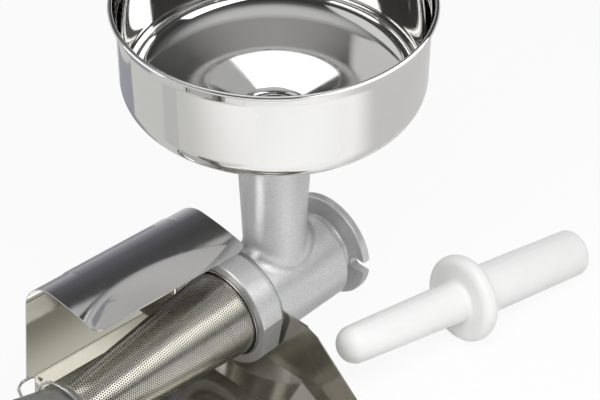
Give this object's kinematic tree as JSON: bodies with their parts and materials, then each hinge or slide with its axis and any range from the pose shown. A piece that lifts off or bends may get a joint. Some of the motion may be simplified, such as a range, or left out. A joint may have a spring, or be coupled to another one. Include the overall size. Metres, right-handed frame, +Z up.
{
  "type": "food mill",
  "caption": "Food mill with a steel hopper, a cast body, a perforated cone strainer with a feed screw, a drip tray with splash guard, and a loose pestle.",
  "frame": {"origin": "centre of the rear flange face, on the barrel's axis", "axes": "+X out of the flange towards the drive, the strainer points along -X, +Z up along the neck, -Y towards the tray's outlet"},
  "size_m": [0.4757, 0.245, 0.3311],
  "materials": {
    "cast_aluminium": "satin cast, silver coated",
    "polished_steel": "mirror polished stainless steel",
    "strainer_steel": "perforated stainless sheet",
    "tray_steel": "bright stainless sheet",
    "bright_steel": "bright steel",
    "spout_plastic": "matte",
    "screw_plastic": "satin moulded",
    "pestle_plastic": "satin moulded white",
    "seal_rubber": "matte",
    "bush_bronze": "machined"
  },
  "bodies": {
    "mill_body": {"body_casting": "cast_aluminium", "cone_gasket": "seal_rubber", "rear_bush": "bush_bronze", "shaft_seal": "seal_rubber", "drip_tray": "tray_steel", "tray_back_plate": "tray_steel"},
    "hopper": {"hopper_bowl": "polished_steel"},
    "screw": {"auger": "screw_plastic", "drive_shaft": "bright_steel", "shaft_pin": "bright_steel", "retaining_clip": "bright_steel", "auger_spring": "bright_steel", "thrust_washer": "bright_steel"},
    "strainer": {"strainer_rear_ring": "strainer_steel", "strainer_cone": "strainer_steel", "strainer_front_ring": "strainer_steel", "waste_spout": "spout_plastic"},
    "ring_nut": {"ring_nut": "cast_aluminium"},
    "splash_guard": {"splash_guard": "polished_steel"},
    "wire_clip": {"wire_clip": "bright_steel"},
    "pestle": {"pestle": "pestle_plastic"}
  },
  "joints": [
    {"name": "hopper_lift", "type": "slide", "parent": "mill_body", "child": "hopper", "axis": [0, 0, 1], "range_m": [0, 0.06]},
    {"name": "screw_turn", "type": "hinge", "parent": "mill_body", "child": "screw", "pos_m": [0, 0, 0], "axis": [1, 0, 0], "continuous": true},
    {"name": "strainer_slide", "type": "slide", "parent": "mill_body", "child": "strainer", "axis": [-1, 0, 0], "range_m": [0, 0.009]},
    {"name": "nut_turn", "type": "hinge", "parent": "strainer", "child": "ring_nut", "pos_m": [-0.1, 0, 0], "axis": [-1, 0, 0], "range_deg": [0, 1080]},
    {"name": "guard_lift", "type": "slide", "parent": "mill_body", "child": "splash_guard", "axis": [0, 0, 1], "range_m": [0, 0.06]},
    {"name": "wire_swing", "type": "hinge", "parent": "mill_body", "child": "wire_clip", "pos_m": [-0.22447, 0.0725, -0.03571], "axis": [0, 1, 0], "range_deg": [0, 30]},
    {"name": "pestle_lift", "type": "slide", "parent": "mill_body", "child": "pestle", "axis": [0.1259, -0.5875, 0.7994], "range_m": [0, 0.3]}
  ],
  "couplings": [
    {"joint": "strainer_slide", "follows": "nut_turn", "m_per_rad": 0.000477}
  ]
}
